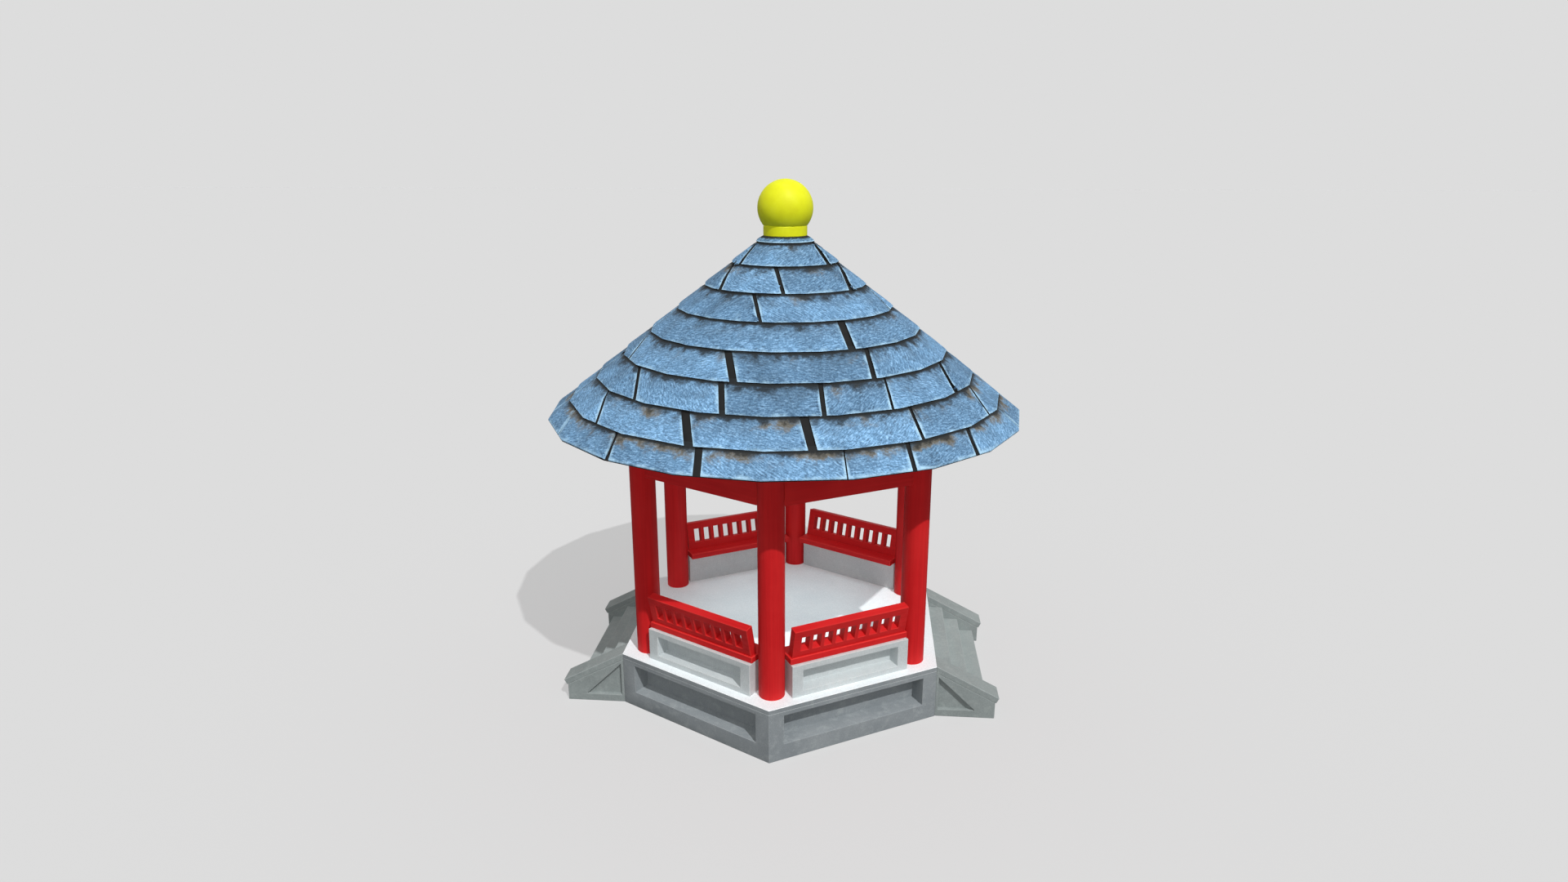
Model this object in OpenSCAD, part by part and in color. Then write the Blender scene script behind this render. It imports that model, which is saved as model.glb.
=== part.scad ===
// Six-sided open garden summerhouse on a raised stone plinth, with two flights of steps,
// four bench bays and a many-sided slated roof under a ball finial.
// Millimetres, +Z up, origin on the ground at the middle, front corner of the plinth towards -Y.

/* [Plinth] */
// Radius of the six-sided plinth from its middle to a corner
plinth_r = 2200; // [1800:10:2800]
// Thickness of the stone floor slab on the plinth
floor_t = 60; // [40:1:100]
// Plain stone left beside a sunk panel at each corner
panel_end = 187; // [100:1:300]
// Plain stone left under a sunk panel
panel_low = 200; // [120:1:260]
// Plain stone left over a sunk panel, up to the floor
panel_top = 108; // [90:1:160]
// Depth of the sunk panels
panel_depth = 220; // [60:1:320]

/* [Stairs] */
// Height of one step, of which four reach the floor
step_rise = 167; // [140:1:190]
// Depth of one tread
step_run = 213; // [190:1:280]
// Thickness of the cheek walls beside the steps
cheek_t = 270; // [180:1:340]
// Length of the cheek wall past the lowest step
cheek_past = 75; // [40:1:140]
// Slope of the copings in degrees
coping_slope = 27.5; // [22:0.5:32]
// Thickness of the copings
coping_t = 76; // [50:1:100]
// Overhang of a coping at its foot
coping_nose = 12; // [6:1:40]
// Stone left around a cheek panel at the plinth
tri_back = 33; // [20:1:80]
// Stone left under a cheek panel
tri_low = 92; // [50:1:140]
// Length of a cheek panel along the ground
tri_l = 449; // [300:1:520]
// Height of a cheek panel at the plinth
tri_h = 430; // [280:1:440]
// Depth of the cheek panels
tri_depth = 55; // [20:1:100]

/* [Columns] */
// Distance of the column centres from the corners of the plinth
column_set = 350; // [220:1:420]
// Diameter of a column
column_d = 300; // [220:1:340]
// Clear height from the floor to the lintels
head_room = 2272; // [2050:1:2500]
// Height of a lintel
lintel_h = 456; // [300:1:540]
// Thickness of a lintel
lintel_t = 180; // [120:1:240]

/* [Benches] */
// Gap between a bench base and the columns beside it
base_gap = 20; // [15:1:60]
// Height of a bench base
base_h = 395; // [340:1:440]
// Thickness of a bench base
base_t = 220; // [190:1:300]
// Reach of a bench base past the line of the columns
base_out = 188; // [120:1:220]
// Plain stone left over and under the sunk panel of a bench base
base_edge = 70; // [50:1:110]
// Plain stone left beside the sunk panel of a bench base
base_end = 135; // [80:1:200]
// Depth of the sunk panel of a bench base
base_panel = 170; // [20:1:180]
// Gap between a seat and the columns beside it
seat_gap = 17; // [10:1:60]
// Thickness of a seat
seat_t = 76; // [45:1:90]
// Overhang of a seat towards the room
seat_in = 120; // [60:1:220]
// Set-back of a seat behind the garden face of its base
seat_back = 40; // [5:1:80]
// Gap between a backrest and the line of the columns beside it
rest_gap = 42; // [20:1:80]
// Height of a backrest over its seat
rest_h = 350; // [300:1:420]
// Thickness of a backrest
rest_t = 105; // [50:1:130]
// Outward lean of a backrest in degrees
rest_lean = 12.5; // [6:0.5:18]
// Set-back of a backrest's foot from the outer edge of its seat
rest_back = 18; // [5:1:50]
// Width of a backrest slot
slot_w = 100; // [60:1:120]
// Height of a backrest slot
slot_h = 188; // [120:1:210]
// Height of the rail under the backrest slots
slot_low = 76; // [55:1:95]

/* [Roof] */
// Reach of the ring beam past the columns on both sides
beam_over = 22; // [10:1:60]
// Height of the ring beam over the lintels
beam_h = 124; // [80:1:200]
// Thickness of the soffit boards
soffit_t = 18; // [14:1:40]
// Width of the roof's foot that bears on the soffit
soffit_lap = 9; // [5:1:25]
// Number of flat sides of the roof, of which an even share stands over each half
roof_sides = 20; // [12:4:24]
// Reach of the eave past the corners of the plinth
eave_over = 630; // [400:5:900]
// Height of the eave's upright edge
eave_edge = 28; // [20:1:50]
// Pitch of the roof along its corners in degrees
roof_pitch = 38.6; // [30:0.1:45]
// Thickness of the boarded roof
roof_t = 60; // [40:1:90]

/* [Finial] */
// Outer radius of the finial collar
collar_r = 257; // [180:1:280]
// Height of the finial collar
collar_h = 117; // [80:1:200]
// Wall of the finial collar
collar_wall = 30; // [20:1:45]
// Radius of the finial ball
ball_r = 325; // [290:1:380]
// Wall of the finial ball
ball_wall = 25; // [15:1:40]

/* [Hidden] */
$fn = 96;
eps = 1;
// The sides that carry stairs have their middles at 0 and 180 degrees, the bench sides between them.
plinth_a = plinth_r * cos(30);
floor_z = 4 * step_rise;
stair_l = 3 * step_run + cheek_past;
cheek_out = plinth_r / 2 - 5;
cheek_in = cheek_out - cheek_t;
coping_drop = coping_t / cos(coping_slope);
ring_r = plinth_r - column_set;
column_a = ring_r * cos(30);
bay_w = ring_r - column_d;
lintel_z = floor_z + head_room;
beam_z = lintel_z + lintel_h;
base_x = column_a + base_out;
base_l = bay_w - 2 * base_gap;
seat_l = bay_w - 2 * seat_gap;
rest_l = bay_w - 2 * rest_gap;
// Nine slots share the length of a backrest.
slot_pitch = rest_l / 10;
seat_z = floor_z + base_h;
rest_z = seat_z + seat_t;
rest_x = base_x - seat_back - rest_back;
soffit_z = beam_z + beam_h;
roof_z = soffit_z + soffit_t;
eave_r = plinth_r + eave_over;
roof_wall = roof_t / sin(roof_pitch);
foot_r = eave_r - roof_wall + eave_edge / tan(roof_pitch);
crown_r = collar_r / cos(180 / roof_sides) + 8;
crown_h = (eave_r - crown_r) * tan(roof_pitch);
crown_z = roof_z + eave_edge + crown_h;
ball_foot = sqrt(ball_r * ball_r - collar_r * collar_r);
ball_z = crown_z + collar_h + ball_foot;

// A six-sided outline with a corner at the front, given by its radius to a corner.
module hexagon(r) {
  rotate([0, 0, 30])
    circle(r = r, $fn = 6);
}

// The outline of the roof, with corners at the front, back, left and right.
module roof_outline(r) {
  polygon([for (i = [0 : roof_sides - 1])
    r * [cos(360 * i / roof_sides), sin(360 * i / roof_sides)]]);
}

// Solid stone plinth with a sunk panel in each side that has no stairs.
module plinth() {
  panel_w = plinth_r - 2 * panel_end;
  panel_h = floor_z - panel_low - panel_top;
  color("#8A9093")
    difference() {
      linear_extrude(floor_z - floor_t)
        hexagon(plinth_r);
      for (a = [60, 120, 240, 300])
        rotate([0, 0, a])
          translate([plinth_a - panel_depth, -panel_w / 2, panel_low])
            cube([panel_depth + eps, panel_w, panel_h]);
    }
}

// Pale floor slab, flush with the plinth all round.
module floor_slab() {
  color("#D9DCDB")
    translate([0, 0, floor_z - floor_t])
      linear_extrude(floor_t)
        hexagon(plinth_r);
}

// One stone step between the cheeks, counted from the ground.
module step_block(n) {
  color("#8A9093")
    translate([plinth_a, -cheek_in, (n - 1) * step_rise])
      cube([(4 - n) * step_run, 2 * cheek_in, step_rise]);
}

// Cheek wall with a three-cornered sunk panel on its outer face; side is 1 or -1 along the steps.
module cheek(side) {
  color("#8A9093")
    translate([plinth_a, side * (cheek_out + cheek_in) / 2, 0])
      rotate([90, 0, 0])
        difference() {
          linear_extrude(cheek_t, center = true)
            polygon([
              [0, 0],
              [stair_l, 0],
              [stair_l, floor_z - coping_drop - stair_l * tan(coping_slope)],
              [0, floor_z - coping_drop]
            ]);
          translate([0, 0, -side * cheek_t / 2])
            linear_extrude(2 * tri_depth, center = true)
              polygon([
                [tri_back, tri_low],
                [tri_back + tri_l, tri_low],
                [tri_back, tri_low + tri_h]
              ]);
        }
}

// Sloping coping slab on a cheek wall, its foot cut square to the slope.
module coping(side) {
  foot_x = stair_l + coping_nose;
  nose_x = foot_x + coping_t * sin(coping_slope);
  color("#8A9093")
    translate([plinth_a, side * (cheek_out + cheek_in) / 2, 0])
      rotate([90, 0, 0])
        linear_extrude(cheek_t, center = true)
          polygon([
            [0, floor_z - coping_drop],
            [foot_x, floor_z - coping_drop - foot_x * tan(coping_slope)],
            [nose_x, floor_z - nose_x * tan(coping_slope)],
            [0, floor_z]
          ]);
}

// Plain round column from the floor to the ring beam.
module column(a) {
  color("#B4191D")
    rotate([0, 0, a])
      translate([ring_r, 0, floor_z])
        cylinder(d = column_d, h = beam_z - floor_z);
}

// Stone bench base with a sunk panel on its garden side.
module bench_base() {
  color("#C3C9C9")
    difference() {
      translate([base_x - base_t, -base_l / 2, floor_z])
        cube([base_t, base_l, base_h]);
      translate([base_x - base_panel, -base_l / 2 + base_end, floor_z + base_edge])
        cube([base_panel + eps, base_l - 2 * base_end, base_h - 2 * base_edge]);
    }
}

// Seat plank on a bench base, reaching into the room.
module seat() {
  color("#B4191D")
    translate([base_x - base_t - seat_in, -seat_l / 2, seat_z])
      cube([seat_in + base_t - seat_back, seat_l, seat_t]);
}

// Leaning backrest with upright slots, its foot and head cut level on the slope.
module backrest() {
  foot_w = rest_t / cos(rest_lean);
  shift = rest_h * tan(rest_lean);
  color("#B4191D")
    difference() {
      translate([rest_x, 0, rest_z])
        rotate([90, 0, 0])
          linear_extrude(rest_l, center = true)
            polygon([
              [-foot_w, 0],
              [0, 0],
              [shift, rest_h],
              [shift - rest_t * cos(rest_lean), rest_h + rest_t * sin(rest_lean)]
            ]);
      for (i = [-4 : 4])
        translate([rest_x, i * slot_pitch, rest_z])
          rotate([0, rest_lean, 0])
            translate([-2 * rest_t, -slot_w / 2, slot_low])
              cube([3 * rest_t, slot_w, slot_h]);
    }
}

// Lintel between two columns, scribed to them at both ends.
module lintel(a) {
  color("#B4191D")
    rotate([0, 0, a])
      difference() {
        translate([column_a - lintel_t / 2, -ring_r / 2, lintel_z])
          cube([lintel_t, ring_r, lintel_h]);
        for (s = [-1, 1])
          translate([column_a, s * ring_r / 2, lintel_z - eps])
            cylinder(d = column_d, h = lintel_h + 2 * eps);
      }
}

// Six-sided ring beam on the columns and lintels.
module ring_beam() {
  reach = column_d / 2 + beam_over;
  color("#B4191D")
    translate([0, 0, beam_z])
      linear_extrude(beam_h)
        difference() {
          hexagon((column_a + reach) / cos(30));
          hexagon((column_a - reach) / cos(30));
        }
}

// Flat boarded soffit from the ring beam out to the roof's foot, open in the middle.
module roof_soffit() {
  color("#A3171B")
    translate([0, 0, soffit_z])
      linear_extrude(soffit_t)
        difference() {
          roof_outline(foot_r + soffit_lap);
          hexagon((column_a - column_d / 2 - beam_over) / cos(30));
        }
}

// Hollow boarded roof of flat sides, with an upright eave edge and a flat crown.
module roof_shell() {
  low_r = foot_r + eps / tan(roof_pitch);
  high_r = crown_r - roof_wall - eps / tan(roof_pitch);
  color("#6E9BC4")
    translate([0, 0, roof_z])
      difference() {
        union() {
          linear_extrude(eave_edge)
            roof_outline(eave_r);
          translate([0, 0, eave_edge])
            linear_extrude(crown_h, scale = crown_r / eave_r)
              roof_outline(eave_r);
        }
        translate([0, 0, -eps])
          linear_extrude(eave_edge + crown_h + 2 * eps, scale = high_r / low_r)
            roof_outline(low_r);
      }
}

// Round collar on the crown of the roof.
module finial_collar() {
  color("#E6E81E")
    translate([0, 0, crown_z])
      difference() {
        cylinder(r = collar_r, h = collar_h);
        translate([0, 0, -eps])
          cylinder(r = collar_r - collar_wall, h = collar_h + 2 * eps);
      }
}

// Hollow ball with a flat foot on the collar.
module finial_ball() {
  color("#E6E81E")
    translate([0, 0, ball_z])
      difference() {
        sphere(r = ball_r);
        sphere(r = ball_r - ball_wall);
        translate([-ball_r, -ball_r, -ball_r - ball_foot])
          cube([2 * ball_r, 2 * ball_r, ball_r]);
      }
}

// A piece of the right-hand flight, or turned half round, of the left-hand flight.
module right_flight() {
  children();
}
module left_flight() {
  rotate([0, 0, 180])
    children();
}

// A piece on the side whose middle is turned by an angle from the right-hand flight.
module on_side(a) {
  rotate([0, 0, a])
    children();
}

plinth();
floor_slab();
right_flight() step_block(1);  // right_step_low
right_flight() step_block(2);  // right_step_mid
right_flight() step_block(3);  // right_step_top
left_flight() step_block(1);  // left_step_low
left_flight() step_block(2);  // left_step_mid
left_flight() step_block(3);  // left_step_top
right_flight() cheek(-1);  // right_front_cheek
right_flight() cheek(1);  // right_back_cheek
left_flight() cheek(1);  // left_front_cheek
left_flight() cheek(-1);  // left_back_cheek
right_flight() coping(-1);  // right_front_coping
right_flight() coping(1);  // right_back_coping
left_flight() coping(1);  // left_front_coping
left_flight() coping(-1);  // left_back_coping
column(-90);  // front_column
column(-30);  // front_right_column
column(30);  // back_right_column
column(90);  // back_column
column(150);  // back_left_column
column(210);  // front_left_column
on_side(-60) bench_base();  // front_right_bench_base
on_side(60) bench_base();  // back_right_bench_base
on_side(120) bench_base();  // back_left_bench_base
on_side(240) bench_base();  // front_left_bench_base
on_side(-60) seat();  // front_right_seat
on_side(60) seat();  // back_right_seat
on_side(120) seat();  // back_left_seat
on_side(240) seat();  // front_left_seat
on_side(-60) backrest();  // front_right_backrest
on_side(60) backrest();  // back_right_backrest
on_side(120) backrest();  // back_left_backrest
on_side(240) backrest();  // front_left_backrest
lintel(-60);  // front_right_lintel
lintel(0);  // right_lintel
lintel(60);  // back_right_lintel
lintel(120);  // back_left_lintel
lintel(180);  // left_lintel
lintel(240);  // front_left_lintel
ring_beam();
roof_soffit();
roof_shell();
finial_collar();
finial_ball();
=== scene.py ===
import math
import random

import bmesh
import bpy
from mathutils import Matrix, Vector


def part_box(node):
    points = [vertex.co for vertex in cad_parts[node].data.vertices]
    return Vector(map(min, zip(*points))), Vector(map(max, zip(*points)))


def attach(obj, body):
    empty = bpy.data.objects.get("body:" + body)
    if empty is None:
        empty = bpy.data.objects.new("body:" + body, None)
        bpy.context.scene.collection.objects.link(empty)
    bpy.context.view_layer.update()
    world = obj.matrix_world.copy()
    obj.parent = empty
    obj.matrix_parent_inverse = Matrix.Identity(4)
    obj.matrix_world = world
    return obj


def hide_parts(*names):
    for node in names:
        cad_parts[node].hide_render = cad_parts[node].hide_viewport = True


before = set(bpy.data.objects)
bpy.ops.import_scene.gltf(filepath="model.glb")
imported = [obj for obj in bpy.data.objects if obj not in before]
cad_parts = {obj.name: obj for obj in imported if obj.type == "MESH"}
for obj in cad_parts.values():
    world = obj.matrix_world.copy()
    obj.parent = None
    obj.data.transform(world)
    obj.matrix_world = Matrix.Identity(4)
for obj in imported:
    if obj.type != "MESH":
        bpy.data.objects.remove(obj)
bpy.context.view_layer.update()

# Plinth: a solid six-sided mass of grey sandstone, with a sunk panel in each side that has no steps.
# It is sawn and rubbed smooth. Feet and weather have rounded its arrises to a slightly paler line.
PLINTH_ARRIS = 0.006
ARRIS_CUTS = 2
ARRIS_ANGLE = 35.0  # degrees: only an edge that turns more than this is worn round
FLAT_ANGLE = 0.5  # degrees: triangles that turn less than this make one flat face
CURVE_ANGLE = 20.0  # degrees: faces that turn less than this are shaded as one curve
CORNER_GAP = 0.0002  # corners of loose triangles that are closer than this are one point
STONE_CLOUD = 0.55
STONE_BLOOM = 0.09
STONE_GRIT = 0.011  # grit of about 2 mm, drawn coarser so that it shows
BLOOM_DEPTH = 0.006
GRIT_DEPTH = 0.0025
SANDSTONE = "8D9396"
SANDSTONE_DEEP = "7B8286"
SANDSTONE_PALE = "A5ABAC"
SANDSTONE_WORN = "92989B"


def linear(colour):
    """An sRGB hex colour as the linear colour that shaders take."""
    parts = [int(colour[i:i + 2], 16) / 255 for i in (0, 2, 4)]
    return [c / 12.92 if c <= 0.04045 else ((c + 0.055) / 1.055) ** 2.4 for c in parts] + [1.0]


def add(tree, kind, inputs, **settings):
    """Adds a shader node with its settings. Inputs, by name or number, get values or other nodes' outputs."""
    made = tree.nodes.new("ShaderNode" + kind)
    for key, value in settings.items():
        setattr(made, key, value)
    for key, value in inputs.items():
        if isinstance(value, bpy.types.NodeSocket):
            tree.links.new(value, made.inputs[key])
        else:
            made.inputs[key].default_value = value
    return made


def dressed_stone(name, body, deep, pale):
    """Rubbed stone: a dull even face with soft clouds of tone, a faint bloom and fine grit."""
    stone = bpy.data.materials.new(name)
    stone.use_nodes = True
    tree = stone.node_tree
    shader = tree.nodes["Principled BSDF"]
    place = add(tree, "TexCoord", {}).outputs["Object"]
    cloud = add(tree, "TexNoise", {"Vector": place, "Scale": 1 / STONE_CLOUD, "Detail": 4.0}).outputs[0]
    bloom = add(tree, "TexNoise", {"Vector": place, "Scale": 1 / STONE_BLOOM, "Detail": 6.0,
                                   "Roughness": 0.65}).outputs[0]
    grit = add(tree, "TexNoise", {"Vector": place, "Scale": 1 / STONE_GRIT, "Detail": 2.0}).outputs[0]
    base = linear(body)
    # Each tone comes in, up to its share, as its pattern goes from none to full.
    for spread, none, full, share, colour in ((cloud, 0.36, 0.68, 0.75, deep),
                                              (bloom, 0.5, 0.78, 0.6, pale)):
        part = add(tree, "MapRange", {0: spread, 1: none, 2: full, 3: 0.0, 4: share}).outputs[0]
        base = add(tree, "Mix", {0: part, 6: base, 7: linear(colour)}, data_type="RGBA").outputs[2]
    speck = add(tree, "MapRange", {0: grit, 1: 0.3, 2: 0.7, 3: 0.9, 4: 1.08}).outputs[0]
    specked = add(tree, "VectorMath", {0: base, 3: speck}, operation="SCALE").outputs[0]
    tree.links.new(specked, shader.inputs["Base Color"])
    matt = add(tree, "MapRange", {0: bloom, 1: 0.3, 2: 0.7, 3: 0.72, 4: 0.9}).outputs[0]
    tree.links.new(matt, shader.inputs["Roughness"])
    tooth = add(tree, "Bump", {"Height": grit, "Strength": 0.35, "Distance": GRIT_DEPTH}).outputs[0]
    waves = add(tree, "Bump", {"Height": bloom, "Normal": tooth, "Strength": 0.3,
                               "Distance": BLOOM_DEPTH}).outputs[0]
    tree.links.new(waves, shader.inputs["Normal"])
    return stone


def worn_copy(node, finish, arris, face, edge):
    """Copies a CAD node as a clean closed mesh. Its outer arrises are rounded and take the edge material."""
    bpy.ops.object.select_all(action="DESELECT")
    piece = bpy.data.objects.new(f"{node}_{finish}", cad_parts[node].data.copy())
    bpy.context.collection.objects.link(piece)
    bpy.context.view_layer.objects.active = piece
    piece.select_set(True)
    piece.data.materials.clear()
    piece.data.materials.append(face)
    piece.data.materials.append(edge)
    bpy.ops.object.mode_set(mode="EDIT")
    bpy.ops.mesh.select_all(action="SELECT")
    bpy.ops.mesh.remove_doubles(threshold=CORNER_GAP)
    bpy.ops.mesh.dissolve_limited(angle_limit=math.radians(FLAT_ANGLE))
    bpy.ops.mesh.vert_connect_concave()
    bpy.ops.mesh.select_mode(type="EDGE")
    bpy.ops.mesh.select_all(action="DESELECT")
    work = bmesh.from_edit_mesh(piece.data)
    for line in work.edges:
        line.select_set(line.is_convex and line.calc_face_angle() > math.radians(ARRIS_ANGLE))
    bmesh.update_edit_mesh(piece.data)
    bpy.ops.mesh.bevel(offset=arris, segments=ARRIS_CUTS, affect="EDGES", clamp_overlap=True, material=1)
    bpy.ops.object.mode_set(mode="OBJECT")
    bpy.ops.object.shade_smooth_by_angle(angle=math.radians(CURVE_ANGLE))
    return piece


sandstone = dressed_stone("rubbed_sandstone", SANDSTONE, SANDSTONE_DEEP, SANDSTONE_PALE)
sandstone_worn = dressed_stone("sandstone_arris", SANDSTONE_WORN, SANDSTONE, SANDSTONE_PALE)
plinth = worn_copy("plinth", "stone", PLINTH_ARRIS, sandstone, sandstone_worn)
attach(plinth, "root")
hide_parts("plinth")

# Floor: one pale limestone slab over the whole plinth, flush with its faces and bedded in a fine joint.
# It is rubbed smoother than the plinth on top, and its upright edge has weathered to the plinth's grey.
FLOOR_ARRIS = 0.005
UPRIGHT = 0.3  # a face whose normal rises or falls less than this stands upright
LIMESTONE = "ECF3F5"
LIMESTONE_DEEP = "E2EBEE"
LIMESTONE_PALE = "F3F8F9"
LIMESTONE_WORN = "F0F5F6"

limestone = dressed_stone("rubbed_limestone", LIMESTONE, LIMESTONE_DEEP, LIMESTONE_PALE)
limestone_worn = dressed_stone("limestone_arris", LIMESTONE_WORN, LIMESTONE, LIMESTONE_PALE)
floor_slab = worn_copy("floor_slab", "stone", FLOOR_ARRIS, limestone, limestone_worn)
floor_slab.data.materials.append(sandstone)
for face in floor_slab.data.polygons:
    if abs(face.normal.z) < UPRIGHT:
        face.material_index = 2
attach(floor_slab, "root")
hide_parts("floor_slab")

# Steps: two flights of three stone blocks, stacked against the plinth between their cheek walls.
# They are of a slightly greener bed of the plinth's stone, and feet have worn each nosing rounder than the
# other arrises.
STEP_ARRIS = 0.010
STAIR_STONE = "97A09F"
STAIR_STONE_DEEP = "8A9392"
STAIR_STONE_PALE = "A8B0AE"
STAIR_STONE_WORN = "9AA3A2"

stair_stone = dressed_stone("stair_sandstone", STAIR_STONE, STAIR_STONE_DEEP, STAIR_STONE_PALE)
stair_stone_worn = dressed_stone("stair_sandstone_arris", STAIR_STONE_WORN, STAIR_STONE, STAIR_STONE_PALE)
for side in ("right", "left"):
    for step in ("low", "mid", "top"):
        node = f"{side}_step_{step}"
        block = worn_copy(node, "stone", STEP_ARRIS, stair_stone, stair_stone_worn)
        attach(block, "root")
        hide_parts(node)

# Cheek walls: stone walls beside the steps, each with a three-cornered sunk panel outside, and a sloping
# coping slab bedded on each wall. All are of the steps' stone, less trodden and so a little darker.
CHEEK_ARRIS = 0.006
COPING_ARRIS = 0.007
CHEEK_STONE = "8F9796"
CHEEK_STONE_DEEP = "7E8685"
CHEEK_STONE_PALE = "A5ADAB"
CHEEK_STONE_WORN = "949C9B"

cheek_stone = dressed_stone("cheek_sandstone", CHEEK_STONE, CHEEK_STONE_DEEP, CHEEK_STONE_PALE)
cheek_stone_worn = dressed_stone("cheek_sandstone_arris", CHEEK_STONE_WORN, CHEEK_STONE, CHEEK_STONE_PALE)
for side in ("right", "left"):
    for end in ("front", "back"):
        for part, arris in (("cheek", CHEEK_ARRIS), ("coping", COPING_ARRIS)):
            node = f"{side}_{end}_{part}"
            wall = worn_copy(node, "stone", arris, cheek_stone, cheek_stone_worn)
            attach(wall, "root")
            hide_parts(node)

# Columns: six turned softwood columns from the floor to the ring beam, painted red in several coats.
# The paint is satin, follows the upright grain faintly, and is a little thin on the arrises.
COLUMN_ARRIS = 0.006
GRAIN_WIDTH = 0.030  # grain of about 4 mm, drawn coarser so that it shows
GRAIN_LENGTH = 0.9
GRAIN_DEPTH = 0.003
PAINT_CLOUD = 0.7
PAINT_SHEEN = 0.15
RED = "CC2023"
RED_DEEP = "B4191C"
RED_FADED = "D42C2B"
RED_THIN = "DA3A36"


def painted_timber(name, body, deep, faded, along, turn=0.0):
    """Satin oil paint on timber: even colour with faint long grain, along the named axes, and a slow fade."""
    paint = bpy.data.materials.new(name)
    paint.use_nodes = True
    tree = paint.node_tree
    shader = tree.nodes["Principled BSDF"]
    place = add(tree, "TexCoord", {}).outputs["Object"]
    grain_scale = [1 / GRAIN_LENGTH if axis in along else 1 / GRAIN_WIDTH for axis in "xyz"]
    turned = add(tree, "Mapping", {"Vector": place, "Rotation": (0.0, 0.0, -math.radians(turn))}).outputs[0]
    stretched = add(tree, "Mapping", {"Vector": turned, "Scale": grain_scale}).outputs[0]
    grain = add(tree, "TexNoise", {"Vector": stretched, "Scale": 1.0, "Detail": 4.0,
                                   "Distortion": 0.3}).outputs[0]
    cloud = add(tree, "TexNoise", {"Vector": place, "Scale": 1 / PAINT_CLOUD, "Detail": 3.0}).outputs[0]
    base = linear(body)
    for spread, none, full, share, colour in ((grain, 0.38, 0.7, 0.55, deep),
                                              (cloud, 0.45, 0.75, 0.7, faded)):
        part = add(tree, "MapRange", {0: spread, 1: none, 2: full, 3: 0.0, 4: share}).outputs[0]
        base = add(tree, "Mix", {0: part, 6: base, 7: linear(colour)}, data_type="RGBA").outputs[2]
    tree.links.new(base, shader.inputs["Base Color"])
    satin = add(tree, "MapRange", {0: grain, 1: 0.3, 2: 0.7, 3: 0.44, 4: 0.58}).outputs[0]
    tree.links.new(satin, shader.inputs["Roughness"])
    brush = add(tree, "Bump", {"Height": grain, "Strength": 0.25, "Distance": GRAIN_DEPTH}).outputs[0]
    tree.links.new(brush, shader.inputs["Normal"])
    shader.inputs["Specular IOR Level"].default_value = PAINT_SHEEN
    return paint


upright_paint = painted_timber("red_paint_upright", RED, RED_DEEP, RED_FADED, "z")
thin_paint = painted_timber("red_paint_thin", RED_THIN, RED, RED_FADED, "z")
for corner in ("front", "front_right", "back_right", "back", "back_left", "front_left"):
    node = f"{corner}_column"
    column = worn_copy(node, "painted", COLUMN_ARRIS, upright_paint, thin_paint)
    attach(column, "root")
    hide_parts(node)

# Benches: four bays, each with a pale stone base, a thick painted seat plank that reaches into the room,
# and a painted backrest that leans outward, pierced by nine upright slots and tenoned into the seat.
BASE_ARRIS = 0.005
SEAT_ARRIS = 0.008
REST_ARRIS = 0.005
BENCH_STONE = "C3C9CA"
BENCH_STONE_DEEP = "B4BBBD"
BENCH_STONE_PALE = "D0D5D5"
BENCH_STONE_WORN = "CED3D3"
BENCH_SIDES = {"front_right": -60, "back_right": 60, "back_left": 120, "front_left": 240}

bench_stone = dressed_stone("bench_limestone", BENCH_STONE, BENCH_STONE_DEEP, BENCH_STONE_PALE)
bench_stone_worn = dressed_stone("bench_limestone_arris", BENCH_STONE_WORN, BENCH_STONE, BENCH_STONE_PALE)
for side, facing in BENCH_SIDES.items():
    level_paint = painted_timber(f"red_paint_{side}_bench", RED, RED_DEEP, RED_FADED, "x", facing + 90)
    base = worn_copy(f"{side}_bench_base", "stone", BASE_ARRIS, bench_stone, bench_stone_worn)
    seat = worn_copy(f"{side}_seat", "painted", SEAT_ARRIS, level_paint, thin_paint)
    rest = worn_copy(f"{side}_backrest", "painted", REST_ARRIS, level_paint, thin_paint)
    for piece, node, finish in ((base, "bench_base", "pale_stone"), (seat, "seat", "red_timber"),
                                (rest, "backrest", "red_timber")):
        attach(piece, "root")
        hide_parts(f"{side}_{node}")

# Lintels: six deep square-sawn timbers scribed between the column heads, painted with the columns.
# Their grain runs level, along each side of the room.
LINTEL_ARRIS = 0.006
LINTEL_SIDES = {"front_right": -60, "right": 0, "back_right": 60,
                "back_left": 120, "left": 180, "front_left": 240}

for side, facing in LINTEL_SIDES.items():
    node = f"{side}_lintel"
    lintel_paint = painted_timber(f"red_paint_{node}", RED, RED_DEEP, RED_FADED, "x", facing + 90)
    lintel = worn_copy(node, "painted", LINTEL_ARRIS, lintel_paint, thin_paint)
    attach(lintel, "root")
    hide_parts(node)

# Ring beam: six flat timbers mitred into a ring on the heads of the columns and lintels, painted red.
# The grain runs level round the ring, so the pattern is long across and fine upright.
BEAM_ARRIS = 0.008

ring_paint = painted_timber("red_paint_ring", RED, RED_DEEP, RED_FADED, "xy")
ring_beam = worn_copy("ring_beam", "painted", BEAM_ARRIS, ring_paint, thin_paint)
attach(ring_beam, "root")
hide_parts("ring_beam")

# Soffit: flat painted boards from the ring beam out to the eave, laid parallel to the six sides.
# Each board meets the next in a narrow groove, where the paint is dark with dirt.
SOFFIT_ARRIS = 0.004
SOFFIT_BOARD = 0.140
SOFFIT_GROOVE = 0.008
GROOVE_DEPTH = 0.006
SOFFIT_RED = "BC1C20"
SOFFIT_RED_DEEP = "A5161A"
SOFFIT_RED_FADED = "C62928"
GROOVE_DARK = "3A0808"

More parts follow.
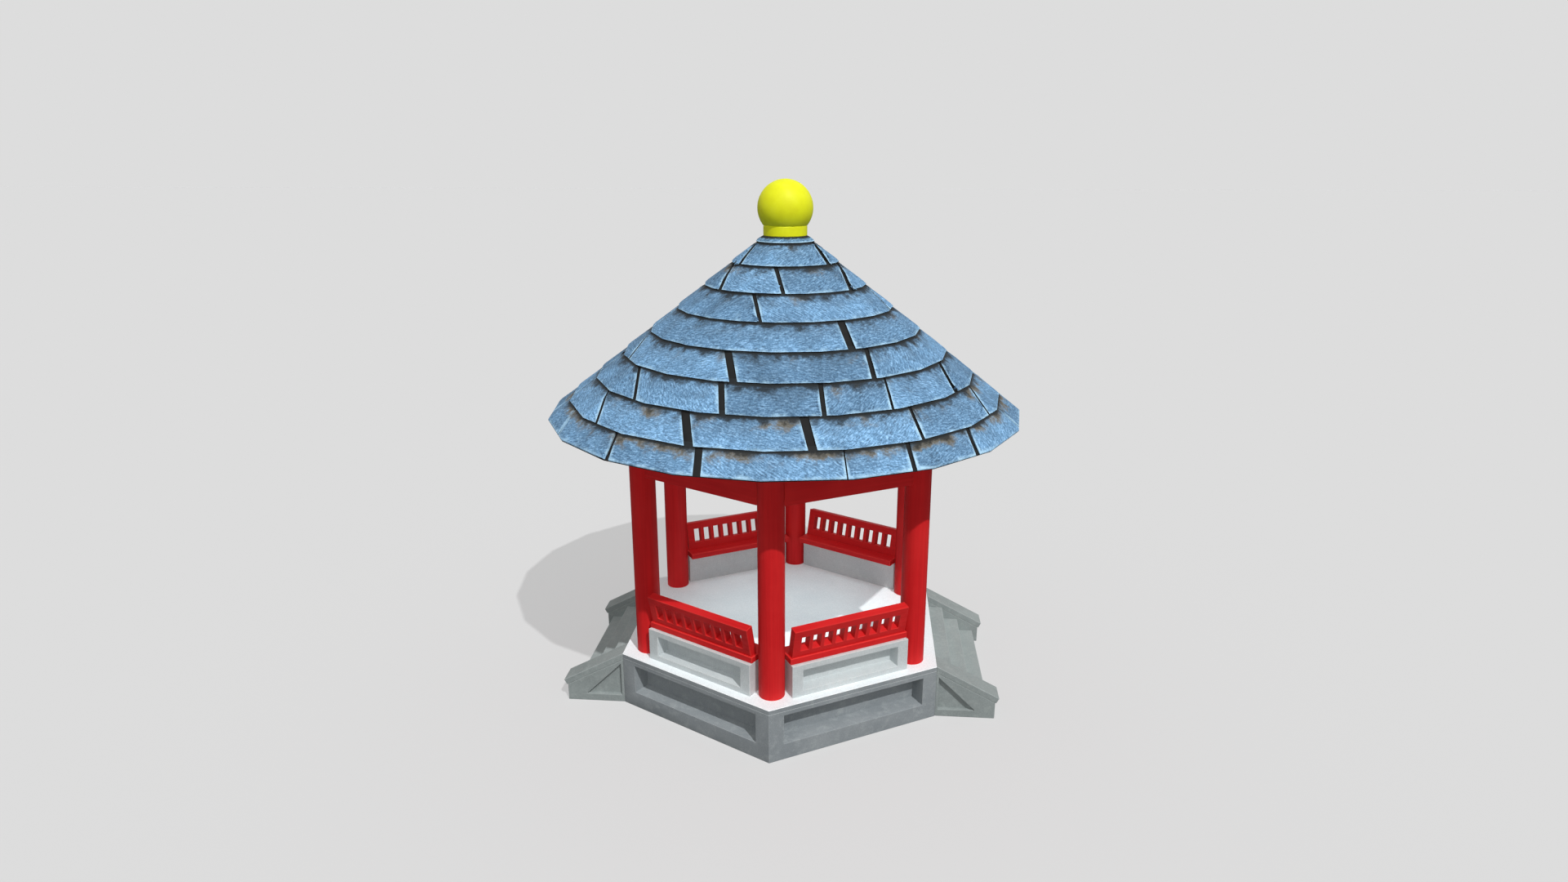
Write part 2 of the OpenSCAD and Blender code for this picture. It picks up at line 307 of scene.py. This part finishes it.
soffit_paint = painted_timber("red_paint_soffit", SOFFIT_RED, SOFFIT_RED_DEEP, SOFFIT_RED_FADED, "x")
tree = soffit_paint.node_tree
shader = tree.nodes["Principled BSDF"]
painted = shader.inputs["Base Color"].links[0].from_socket
brushed = shader.inputs["Normal"].links[0].from_socket
place = add(tree, "TexCoord", {}).outputs["Object"]
reach = 0.0
for facing in (0, 60, 120):
    out = (math.cos(math.radians(facing)), math.sin(math.radians(facing)), 0.0)
    across = add(tree, "VectorMath", {0: place, 1: out}, operation="DOT_PRODUCT").outputs["Value"]
    across = add(tree, "Math", {0: across}, operation="ABSOLUTE").outputs[0]
    reach = add(tree, "Math", {0: reach, 1: across}, operation="MAXIMUM").outputs[0]
step = add(tree, "Math", {0: reach, 1: SOFFIT_BOARD}, operation="PINGPONG").outputs[0]
groove = add(tree, "MapRange", {0: step, 1: 0.0, 2: SOFFIT_GROOVE, 3: 1.0, 4: 0.0}).outputs[0]
lined = add(tree, "Mix", {0: groove, 6: painted, 7: linear(GROOVE_DARK)}, data_type="RGBA").outputs[2]
tree.links.new(lined, shader.inputs["Base Color"])
sunk = add(tree, "Bump", {"Height": groove, "Normal": brushed, "Strength": 0.6, "Distance": GROOVE_DEPTH},
           invert=True).outputs[0]
tree.links.new(sunk, shader.inputs["Normal"])
soffit = worn_copy("roof_soffit", "painted", SOFFIT_ARRIS, soffit_paint, thin_paint)
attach(soffit, "root")
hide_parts("roof_soffit")

# Roof boards: sawn boards on the rafters in twenty flat sides, under a black felt that keeps the wet out.
# They lie below the outer face of the roof by the depth of the slates, and show dark between them. A sloping
# fillet on the soffit closes the eave and carries the tails of the last slates.
ROOF_SIDES = 20
EAVE_EDGE = 0.028
CROWN_MARGIN = 0.008
SLATE_BED = 0.034
BOARD_DEPTH = 0.018
BOARD_STEP = 0.150
BOARD_SEAM = 0.006
EAVE_BACK = 0.052
FILLET_BACK = 0.004
FILLET_DROP = 0.018
FELT_CLOUD = 0.11
FELT_NAP = 0.004
FELT_ROUGHNESS = 0.85
FELT_SHEEN = 0.25
FELT_FACING = -0.2  # felt covers every face whose normal rises more than this
FELT = "141516"
FELT_WORN = "232322"
ROOF_BOARD = "7E1A17"

roof_low, roof_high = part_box("roof_shell")
eave_r = roof_high.x
eave_z = roof_low.z + EAVE_EDGE
crown_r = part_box("finial_collar")[1].x / math.cos(math.pi / ROOF_SIDES) + CROWN_MARGIN
roof_rise = (roof_high.z - eave_z) / (eave_r - crown_r)
roof_cos = 1 / math.hypot(1, roof_rise)


def roof_height(radius, lift=0.0):
    """Height of the roof's outer face at a radius along its corners, with a lift square to the slope."""
    return eave_z + (eave_r - radius) * roof_rise + lift / roof_cos


def roof_ring(name, low_r, low_lift, high_r, high_lift):
    """A ring of flat sides between two radii, as one skin with its corners over the roof's corners."""
    low_z, high_z = roof_height(low_r, low_lift), roof_height(high_r, high_lift)
    bpy.ops.object.select_all(action="DESELECT")
    bpy.ops.mesh.primitive_cone_add(vertices=ROOF_SIDES, radius1=low_r, radius2=high_r, depth=high_z - low_z,
                                    end_fill_type="NOTHING", location=(0, 0, (low_z + high_z) / 2))
    ring = bpy.context.object
    ring.name = ring.data.name = name
    bpy.ops.object.transform_apply(location=True, rotation=True, scale=True)
    return ring


# Tarred felt is a dull near-black, mottled by weather. Inside, the boards show dark red stain and thin seams.
felt = bpy.data.materials.new("roofing_felt_and_boards")
felt.use_nodes = True
tree = felt.node_tree
shader = tree.nodes["Principled BSDF"]
place = add(tree, "TexCoord", {}).outputs["Object"]
height = add(tree, "SeparateXYZ", {0: place}).outputs[2]
weather = add(tree, "TexNoise", {"Vector": place, "Scale": 1 / FELT_CLOUD, "Detail": 5.0}).outputs[0]
tar = add(tree, "Mix", {0: weather, 6: linear(FELT), 7: linear(FELT_WORN)}, data_type="RGBA").outputs[2]
step = add(tree, "Math", {0: height, 1: BOARD_STEP * roof_rise * roof_cos}, operation="PINGPONG").outputs[0]
seam = add(tree, "MapRange", {0: step, 1: 0.0, 2: BOARD_SEAM, 3: 0.35, 4: 1.0}).outputs[0]
board = add(tree, "VectorMath", {0: linear(ROOF_BOARD)[:3], 3: seam}, operation="SCALE").outputs[0]
normal = add(tree, "NewGeometry", {}).outputs["True Normal"]
upward = add(tree, "SeparateXYZ", {0: normal}).outputs[2]
outside = add(tree, "Math", {0: upward, 1: FELT_FACING}, operation="GREATER_THAN").outputs[0]
covered = add(tree, "Mix", {0: outside, 6: board, 7: tar}, data_type="RGBA").outputs[2]
tree.links.new(covered, shader.inputs["Base Color"])
shader.inputs["Roughness"].default_value = FELT_ROUGHNESS
shader.inputs["Specular IOR Level"].default_value = FELT_SHEEN
nap = add(tree, "Bump", {"Height": weather, "Strength": 0.4, "Distance": FELT_NAP}).outputs[0]
tree.links.new(nap, shader.inputs["Normal"])

roof_boards = roof_ring("roof_boards", eave_r - EAVE_BACK, -SLATE_BED, crown_r, -SLATE_BED)
wall = roof_boards.modifiers.new("boards", "SOLIDIFY")
wall.thickness = BOARD_DEPTH
wall.offset = -1
bpy.ops.object.modifier_apply(modifier="boards")
roof_boards.data.materials.append(felt)
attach(roof_boards, "root")
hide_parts("roof_shell")

eave_fillet = roof_ring("eave_fillet", eave_r - FILLET_BACK, -FILLET_DROP, eave_r - EAVE_BACK, -FILLET_DROP)
bpy.ops.object.mode_set(mode="EDIT")
bpy.ops.mesh.select_all(action="SELECT")
bpy.ops.mesh.extrude_region_move(TRANSFORM_OT_translate={"value": (0.0, 0.0, -BOARD_DEPTH)})
bpy.ops.transform.resize(value=(1.0, 1.0, 0.0), center_override=(0.0, 0.0, roof_low.z))
bpy.ops.mesh.select_all(action="SELECT")
bpy.ops.mesh.normals_make_consistent(inside=False)
bpy.ops.object.mode_set(mode="OBJECT")
eave_fillet.data.materials.append(felt)
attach(eave_fillet, "root")

# Slates: nine courses of wide blue-grey stone slates, riven, trimmed by hand and hung from the crown down.
# Each course is a ring sawn into slates at staggered leaning joints. Heads lie on the boards, tails on the
# next course, and the trimmed edges are worn pale.
SLATE_DEPTH = 0.016
TAIL_LIFT = 0.004
HEAD_DROP = 0.0175
HEAD_LAP = 0.080
CROWN_SHARE = 0.9  # the top slates reach in under the collar to this share of the crown
TOP_TAIL = 0.345
FIRST_TAIL = 0.634
COURSE_REACH = 0.324
EAVE_HANG = 0.006
EAVE_BAND = 0.001  # the last tail edge is cut plumb at points this close to its line
SIDE_CUTS = 3
SAW_REACH = 25.0  # degrees past a joint's own lean in which the saw may touch the course
TRIM_WIDTH = 0.050
TRIM_DROP = 0.005
SLATE_ARRIS = 0.004
SLATE_ARRIS_ANGLE = 50.0
SLATE_SETTLE = 0.004
SLATE_WELD = 0.00001
SLATE_SEED = 1485
SLATE_SHADES = (0.78, 1.24)
SCORE_TURNS = (-0.9, 0.9)
SETTLE_SHARES = (-0.2, 1.0)
TAIL_LINE = 0.97  # an edge point is on the tail past this share of the way down a slate,
TAIL_BAND = 0.95  # if the edge points beside it are past this one
TAIL_WEAR = 0.6
TOP_TAIL_WEAR = 0.1
# Where the joints of each course meet its head and its tail, in degrees round the front half of the roof,
# and their widths in millimetres.
FRONT_JOINTS = [
    [],
    [(-165, -141, 55), (-8, -34, 70)],
    [(-159, -136, 48), (-95, -86.5, 46), (-6, -35, 62)],
    [(-106.5, -97.5, 42), (0, -13, 22)],
    [(-176, -172, 30), (-57, -59, 90)],
    [(-166, -154.5, 28), (-107.5, -101.5, 80), (-52.5, -56.5, 58)],
    [(-142.5, -131, 40), (-105.5, -101.8, 65), (-74.5, -75.3, 50), (-52.5, -56, 28), (-20, -28.5, 55),
     (10, 9, 40)],
    [(-146.5, -137.5, 32), (-112.5, -107, 92), (-80.5, -79.3, 92), (-50, -52.5, 42), (-17.5, -23.5, 30),
     (14, 12, 40)],
    [(-155, -148, 32), (-128.3, -125, 48), (-104.7, -103, 80), (-72.5, -73.2, 15), (-56.8, -58.5, 50),
     (-37, -40.5, 55), (-13.5, -15.5, 32), (10, 11, 40)],
]
SLATE_BLUE = "628AAD"
SLATE_PALE = "95BFE4"
SLATE_DARK = "3C5268"
SLATE_GREY = "566673"
SLATE_CHIPPED = "B4DBF4"
# painted shade: near-black for the grime and the shade under each tail, at the head of the slate below
SLATE_GRIME_AND_SHADE = "1F2223"
SLATE_RUST = "786C54"
# painted shade: near-black for the slates' cut rims, which darkens the joints and lines each tail like a
# shadow
SLATE_EDGE_SHADE = "212527"
SLATE_SHEEN = 0.2
TOOL_MARK = (0.070, 0.016)
CROSS_MARK = (0.062, 0.018)
CROSS_TURN = 1.2
CLEFT_DEPTH = 0.005
SPECKLE = 0.022  # flakes of about 5 mm, drawn coarser so that they show
SLATE_CLOUD = 0.16
CLOUD_DEPTH = 0.012
SLATE_SWIRL = 0.30
DAMP_PATCH = 0.45
DAMP_FROM = 0.65  # damp starts this far over the eave and is full at the next height
DAMP_FULL = 0.20


def riven_slate(name, blue, pale, dark):
    """Riven slate: speckled, tooled faces, greyer to the head, with grime and painted shade in the laps and
    pale edges.
    """
    slate = bpy.data.materials.new(name)
    slate.use_nodes = True
    tree = slate.node_tree
    shader = tree.nodes["Principled BSDF"]
    lay = add(tree, "UVMap", {}, uv_map="lay").outputs[0]
    place = add(tree, "TexCoord", {}).outputs["Object"]
    height = add(tree, "SeparateXYZ", {0: place}).outputs[2]
    tone = add(tree, "Attribute", {}, attribute_name="tone").outputs["Fac"]
    down = add(tree, "Attribute", {}, attribute_name="down").outputs["Fac"]
    worn = add(tree, "Attribute", {}, attribute_name="worn").outputs["Fac"]
    speckle = add(tree, "TexNoise", {"Vector": place, "Scale": 1 / SPECKLE, "Detail": 4.0,
                                     "Roughness": 0.7}).outputs[0]
    cloud = add(tree, "TexNoise", {"Vector": place, "Scale": 1 / SLATE_CLOUD, "Detail": 7.0,
                                   "Roughness": 0.68}).outputs[0]
    swirl = add(tree, "TexNoise", {"Vector": place, "Scale": 1 / SLATE_SWIRL, "Detail": 2.0}).outputs[0]
    patch = add(tree, "TexNoise", {"Vector": place, "Scale": 1 / DAMP_PATCH, "Detail": 5.0,
                                   "Roughness": 0.6}).outputs[0]

    # Grain: flakes under two crossed sets of tool marks, pale on the ridges and dark in the hollows.
    grain = add(tree, "Math", {0: speckle, 1: 0.8}, operation="MULTIPLY").outputs[0]
    for size, turn, share in ((CROSS_MARK, CROSS_TURN, 0.4), (TOOL_MARK, 0.0, 0.8)):
        scored = add(tree, "Mapping", {"Vector": lay, "Rotation": (0.0, 0.0, turn),
                                       "Scale": [1 / length for length in size] + [1.0]}).outputs[0]
        marks = add(tree, "TexNoise", {"Vector": scored, "Scale": 1.0, "Detail": 3.0,
                                       "Roughness": 0.6}).outputs[0]
        grain = add(tree, "Math", {0: marks, 1: share, 2: grain}, operation="MULTIPLY_ADD").outputs[0]
    uneven = add(tree, "Math", {0: cloud, 1: 0.5}, operation="SUBTRACT").outputs[0]
    clouded = add(tree, "Math", {0: uneven, 1: 1.6, 2: down}, operation="MULTIPLY_ADD").outputs[0]
    base = linear(blue)
    for spread, none, full, share, colour in ((grain, 1.0, 1.2, 0.9, pale), (grain, 1.0, 0.8, 0.75, dark),
                                              (clouded, 0.6, 0.05, 0.4, SLATE_GREY)):
        part = add(tree, "MapRange", {0: spread, 1: none, 2: full, 3: 0.0, 4: share}).outputs[0]
        base = add(tree, "Mix", {0: part, 6: base, 7: linear(colour)}, data_type="RGBA").outputs[2]
    swirled = add(tree, "MapRange", {0: swirl, 1: 0.3, 2: 0.7, 3: 0.8, 4: 1.2}).outputs[0]
    tone = add(tree, "Math", {0: tone, 1: swirled}, operation="MULTIPLY").outputs[0]
    base = add(tree, "VectorMath", {0: base, 3: tone}, operation="SCALE").outputs[0]

    # Wear: edges chipped pale, mostly low on a slate. Damp browns the heads, most of all near the eave.
    # Ragged grime and painted shade darken the laps, with a black band at each head painted as the tail's
    # shadow.
    chipped = add(tree, "Math", {0: uneven, 1: 2.6, 2: worn}, operation="MULTIPLY_ADD").outputs[0]
    ragged = add(tree, "Math", {0: uneven, 1: 1.2, 2: down}, operation="MULTIPLY_ADD").outputs[0]
    wet = add(tree, "MapRange", {0: height, 1: eave_z + DAMP_FROM, 2: eave_z + DAMP_FULL,
                                 3: 0.0, 4: 0.16}).outputs[0]
    damp = add(tree, "Math", {0: patch, 1: wet}, operation="ADD").outputs[0]
    low = add(tree, "MapRange", {0: down, 1: 0.0, 2: 0.7, 3: 0.35, 4: 1.0}).outputs[0]
    high = add(tree, "MapRange", {0: ragged, 1: 0.22, 2: 0.42, 3: 1.0, 4: 0.0}).outputs[0]
    for spread, none, full, share, where, colour in ((chipped, 0.3, 1.05, 0.85, low, SLATE_CHIPPED),
                                                     (damp, 0.58, 0.7, 0.8, high, SLATE_RUST),
                                                     (ragged, 0.27, 0.06, 0.88, 1.0, SLATE_GRIME_AND_SHADE),
                                                     (down, 0.12, 0.06, 0.95, 1.0, SLATE_GRIME_AND_SHADE)):
        part = add(tree, "MapRange", {0: spread, 1: none, 2: full, 3: 0.0, 4: share}).outputs[0]
        part = add(tree, "Math", {0: part, 1: where}, operation="MULTIPLY").outputs[0]
        base = add(tree, "Mix", {0: part, 6: base, 7: linear(colour)}, data_type="RGBA").outputs[2]
    tree.links.new(base, shader.inputs["Base Color"])
    matt = add(tree, "MapRange", {0: grain, 1: 0.8, 2: 1.2, 3: 0.8, 4: 0.65}).outputs[0]
    tree.links.new(matt, shader.inputs["Roughness"])
    shader.inputs["Specular IOR Level"].default_value = SLATE_SHEEN
    cleft = add(tree, "Bump", {"Height": grain, "Strength": 0.6, "Distance": CLEFT_DEPTH}).outputs[0]
    waves = add(tree, "Bump", {"Height": cloud, "Normal": cleft, "Strength": 0.5,
                               "Distance": CLOUD_DEPTH}).outputs[0]
    tree.links.new(waves, shader.inputs["Normal"])
    return slate


def on_course(angle, radius):
    """The point at an angle, in degrees, on the level line that meets the roof's corners at a radius."""
    turn = math.radians(angle)
    lean = turn % (math.tau / ROOF_SIDES) - math.pi / ROOF_SIDES
    flat = radius * math.cos(math.pi / ROOF_SIDES) / math.cos(lean)
    return Vector((flat * math.cos(turn), flat * math.sin(turn), roof_height(radius)))


def select_near(work, angle, span, kept=lambda face: True):
    """Selects the faces of a course that lie within a span of an angle, in degrees, and pass a test."""
    for face in work.faces:
        middle = face.calc_center_median()
        off = math.degrees(math.atan2(middle.y, middle.x)) - angle
        face.select_set(abs((off + 180) % 360 - 180) < span and kept(face))


def saw_joint(course, head, tail, width):
    """Saws one joint through a course, from its head to its tail as (angle, radius), and clears the waste."""
    start, end = on_course(*head), on_course(*tail)
    angle, span = (head[0] + tail[0]) / 2, abs(tail[0] - head[0]) + SAW_REACH
    middle = math.radians(angle)
    square = Vector((math.cos(middle) * roof_rise, math.sin(middle) * roof_rise, 1))
    across = (end - start).cross(square).normalized()
    for shift in (-width / 2, width / 2):
        work = bmesh.from_edit_mesh(course.data)
        select_near(work, angle, span)
        bmesh.update_edit_mesh(course.data)
        bpy.ops.mesh.bisect(plane_co=start + across * shift, plane_no=across)
    work = bmesh.from_edit_mesh(course.data)
    select_near(work, angle, span,
                lambda face: abs((face.calc_center_median() - start).dot(across)) < width / 2)
    bmesh.update_edit_mesh(course.data)
    bpy.ops.mesh.delete(type="FACE")


def loose_slates(work):
    """The faces of each separate slate in a sawn course."""
    found, slates = set(), []
    work.faces.index_update()
    for first in work.faces:
        if first.index in found:
            continue
        found.add(first.index)
        faces, reached = [], [first]
        while reached:
            face = reached.pop()
            faces.append(face)
            for other in (near for edge in face.edges for near in edge.link_faces):
                if other.index not in found:
                    found.add(other.index)
                    reached.append(other)
        slates.append(faces)
    return slates


slate = riven_slate("riven_slate", SLATE_BLUE, SLATE_PALE, SLATE_DARK)
slate_edge_shade = dressed_stone("slate_edge_shade", SLATE_EDGE_SHADE, SLATE_GRIME_AND_SHADE, SLATE_DARK)
chance = random.Random(SLATE_SEED)
middle_tails = [FIRST_TAIL + i * COURSE_REACH for i in range(len(FRONT_JOINTS) - 2)]
tails = [TOP_TAIL] + middle_tails + [eave_r + EAVE_HANG]
head_r = crown_r
for number, (tail_r, joints) in enumerate(zip(tails, FRONT_JOINTS)):
    lap_r = max(head_r - HEAD_LAP * roof_cos, crown_r * CROWN_SHARE)
    head_drop = HEAD_DROP * (tail_r - lap_r) / (COURSE_REACH + HEAD_LAP * roof_cos)
    course = roof_ring(f"slate_course_{number}", tail_r, TAIL_LIFT, lap_r, -min(head_drop, HEAD_DROP))
    bpy.ops.object.mode_set(mode="EDIT")
    bpy.ops.mesh.select_all(action="SELECT")
    bpy.ops.mesh.subdivide(number_cuts=SIDE_CUTS)
    for half_turn in (0, 180):
        for head, tail, width in joints:
            saw_joint(course, (head + half_turn, head_r), (tail + half_turn, tail_r), width / 1000)
    bpy.ops.mesh.select_all(action="SELECT")
    bpy.ops.mesh.inset(thickness=TRIM_WIDTH, depth=TRIM_DROP, use_boundary=True)
    work = bmesh.from_edit_mesh(course.data)
    lay = work.loops.layers.uv.new("lay")
    tone = work.faces.layers.float.new("tone")
    down = work.verts.layers.float.new("down")
    worn = work.verts.layers.float.new("worn")
    top, foot = roof_height(head_r), roof_height(tail_r)
    for faces in loose_slates(work):
        shade = chance.uniform(*SLATE_SHADES)
        score = chance.uniform(*SCORE_TURNS)
        lift = chance.uniform(*SETTLE_SHARES) * SLATE_SETTLE
        centre = sum((face.calc_center_median() for face in faces), Vector()) / len(faces)
        start = math.atan2(centre.y, centre.x)
        for face in faces:
            face[tone] = shade
            for loop in face.loops:
                spot = loop.vert.co
                turn = (math.atan2(spot.y, spot.x) - start + math.pi) % math.tau - math.pi
                across, slope = turn * math.hypot(spot.x, spot.y), spot.z / (roof_rise * roof_cos)
                loop[lay].uv = (across * math.cos(score) - slope * math.sin(score),
                                across * math.sin(score) + slope * math.cos(score))
        verts = {vert for face in faces for vert in face.verts}
        for vert in verts:
            vert[down] = (top - vert.co.z) / (top - foot)
            vert[worn] = 1.0 if vert.is_boundary else 0.0
            vert.co.z += lift * max(0.0, vert[down]) - TRIM_DROP
        for vert in verts:
            if vert.is_boundary and vert[down] > TAIL_LINE:
                beside = [edge.other_vert(vert) for edge in vert.link_edges if edge.is_boundary]
                if all(other[down] > TAIL_BAND for other in beside):
                    vert[worn] = TAIL_WEAR if joints else TOP_TAIL_WEAR
    bmesh.update_edit_mesh(course.data)
    bpy.ops.object.mode_set(mode="OBJECT")
    course.data.materials.append(slate)
    course.data.materials.append(slate_edge_shade)
    wall = course.modifiers.new("depth", "SOLIDIFY")
    wall.thickness = SLATE_DEPTH
    wall.offset = -1
    # The rims of all but the eave course take the near-black edge stone: dark joints, and painted shade under
    # each tail.
    wall.material_offset_rim = 0 if tail_r > eave_r else 1
    count = len(course.data.vertices)
    bpy.ops.object.modifier_apply(modifier="depth")
    if tail_r > eave_r:
        tail_line = tail_r * math.cos(math.pi / ROOF_SIDES) - EAVE_BAND
        for above, below in zip(course.data.vertices[:count], course.data.vertices[count:]):
            if math.hypot(above.co.x, above.co.y) > tail_line:
                below.co.xy = above.co.xy
    chamfer = course.modifiers.new("arris", "BEVEL")
    chamfer.width = SLATE_ARRIS
    chamfer.segments = 1
    chamfer.limit_method = "ANGLE"
    chamfer.angle_limit = math.radians(SLATE_ARRIS_ANGLE)
    bpy.ops.object.modifier_apply(modifier="arris")
    bpy.ops.object.mode_set(mode="EDIT")
    bpy.ops.mesh.select_all(action="SELECT")
    bpy.ops.mesh.remove_doubles(threshold=SLATE_WELD)
    bpy.ops.object.mode_set(mode="OBJECT")
    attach(course, "root")
    head_r = tail_r

# Finial: a thrown ceramic ball on a round collar, both in one yellow glaze and hollow.
# The collar is bedded on the crown of the roof over the heads of the top slates.
COLLAR_ROUND = 0.008
GLAZE_POOL = 0.12
GLAZE_RIPPLE = 0.006
GLAZE_SHEEN = 0.2
YELLOW = "E7EA1E"
YELLOW_POOLED = "D8D31B"
YELLOW_THIN = "EEF03C"

# Old glaze has a soft, even gloss. It is deeper where it pooled and paler where it ran thin.
glaze = bpy.data.materials.new("yellow_glaze")
glaze.use_nodes = True
tree = glaze.node_tree
shader = tree.nodes["Principled BSDF"]
place = add(tree, "TexCoord", {}).outputs["Object"]
pool = add(tree, "TexNoise", {"Vector": place, "Scale": 1 / GLAZE_POOL, "Detail": 3.0}).outputs[0]
fired = linear(YELLOW)
for full, colour in ((0.75, YELLOW_POOLED), (0.25, YELLOW_THIN)):
    part = add(tree, "MapRange", {0: pool, 1: 0.45, 2: full, 3: 0.0, 4: 0.4}).outputs[0]
    fired = add(tree, "Mix", {0: part, 6: fired, 7: linear(colour)}, data_type="RGBA").outputs[2]
tree.links.new(fired, shader.inputs["Base Color"])
gloss = add(tree, "MapRange", {0: pool, 1: 0.3, 2: 0.7, 3: 0.5, 4: 0.62}).outputs[0]
tree.links.new(gloss, shader.inputs["Roughness"])
shader.inputs["Specular IOR Level"].default_value = GLAZE_SHEEN
ripple = add(tree, "Bump", {"Height": pool, "Strength": 0.05, "Distance": GLAZE_RIPPLE}).outputs[0]
tree.links.new(ripple, shader.inputs["Normal"])

for node in ("finial_collar", "finial_ball"):
    glazed = worn_copy(node, "glazed", COLLAR_ROUND, glaze, glaze)
    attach(glazed, "root")
    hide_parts(node)

# Studio: a wide pale floor that keeps the summerhouse's shadow, an even white sky and a key light from the
# front right, with a weaker one from the front that casts no shadow and fills. A soft lamp under the roof
# lights the room.
STUDIO_PALE = "DDDDDD"
FLOOR_WIDTH = 400.0
FLOOR_GLOW = 0.55
FLOOR_BOUNCE = 0.18
SKY = 0.34
KEY = 0.73
KEY_FILL = 0.27
KEY_FROM = Vector((0.343, -0.549, 0.762))
KEY_FILL_FROM = Vector((0.05, -0.6, 0.8))
KEY_SPREAD = 0.8
ROOM_LAMP = 10.5
ROOM_LAMP_WIDTH = 3.0
ROOM_LAMP_SPREAD = 40.0
ROOM_LAMP_COLOUR = (0.78, 1.0, 1.05)

# The floor is matt paper. The camera sees it in the backdrop's pale grey, partly aglow so that the shadow
# stays light, and the summerhouse is lit by a darker bounce.
bpy.ops.object.select_all(action="DESELECT")
bpy.ops.mesh.primitive_plane_add(size=FLOOR_WIDTH)
studio_floor = bpy.context.object
studio_floor.name = "studio_floor"
paper = bpy.data.materials.new("pale_floor")
paper.use_nodes = True
tree = paper.node_tree
shader = tree.nodes["Principled BSDF"]
pale = linear(STUDIO_PALE)
level = SKY + KEY * KEY_FROM.normalized().z + KEY_FILL * KEY_FILL_FROM.normalized().z
seen = add(tree, "LightPath", {}).outputs["Is Camera Ray"]
shade = add(tree, "Mix", {0: seen, 6: [FLOOR_BOUNCE] * 3 + [1.0], 7: [c / level for c in pale[:3]] + [1.0]},
            data_type="RGBA").outputs[2]
tree.links.new(shade, shader.inputs["Base Color"])
shader.inputs["Roughness"].default_value = 1.0
shader.inputs["Specular IOR Level"].default_value = 0.0
glow = add(tree, "Emission", {"Color": pale, "Strength": 1.0}).outputs[0]
share = add(tree, "Math", {0: seen, 1: FLOOR_GLOW}, operation="MULTIPLY").outputs[0]
mixed = add(tree, "MixShader", {0: share, 1: shader.outputs[0], 2: glow}).outputs[0]
tree.links.new(mixed, tree.nodes["Material Output"].inputs["Surface"])
studio_floor.data.materials.append(paper)

world = bpy.data.worlds.new("studio_sky")
bpy.context.scene.world = world
world.use_nodes = True
tree = world.node_tree
sky = tree.nodes["Background"]
sky.inputs["Color"].default_value = (1.0, 1.0, 1.0, 1.0)
sky.inputs["Strength"].default_value = SKY
backdrop = add(tree, "Background", {"Color": pale, "Strength": 1.0}).outputs[0]
rays = add(tree, "LightPath", {}).outputs
plain = rays["Is Camera Ray"]
for kind in ("Is Glossy Ray", "Is Transmission Ray"):
    plain = add(tree, "Math", {0: plain, 1: rays[kind]}, operation="MAXIMUM").outputs[0]
shown = add(tree, "MixShader", {0: plain, 1: sky.outputs[0], 2: backdrop}).outputs[0]
tree.links.new(shown, tree.nodes["World Output"].inputs["Surface"])

for name, strength, source in (("key_light", KEY, KEY_FROM), ("key_fill", KEY_FILL, KEY_FILL_FROM)):
    bpy.ops.object.light_add(type="SUN", rotation=source.to_track_quat("Z", "Y").to_euler())
    key = bpy.context.object
    key.name = name
    key.data.energy = strength * math.pi
    key.data.angle = math.radians(KEY_SPREAD)
    key.data.use_shadow = name == "key_light"

bpy.ops.object.light_add(type="AREA", location=(0, 0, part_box("ring_beam")[1].z))
lamp = bpy.context.object
lamp.name = "room_light"
lamp.data.energy = ROOM_LAMP
lamp.data.color = ROOM_LAMP_COLOUR
lamp.data.size = ROOM_LAMP_WIDTH
lamp.data.spread = math.radians(ROOM_LAMP_SPREAD)
lamp.visible_camera = False

# Camera: as the photograph was taken, from the front a little to the right and above the eave.
# It looks down at the benches, through a wide lens.
CAMERA_AT = Vector((0.9171, -11.2369, 6.483))
CAMERA_LOOK = Vector((-0.0792, 0.9546, -0.2871))
CAMERA_LENS = 21.713
CAMERA_FILM = 36.0

bpy.ops.object.camera_add(location=CAMERA_AT, rotation=CAMERA_LOOK.to_track_quat("-Z", "Y").to_euler())
camera = bpy.context.object
camera.data.sensor_width = CAMERA_FILM
camera.data.lens = CAMERA_LENS
bpy.context.scene.camera = camera
bpy.context.scene.view_settings.view_transform = "Standard"
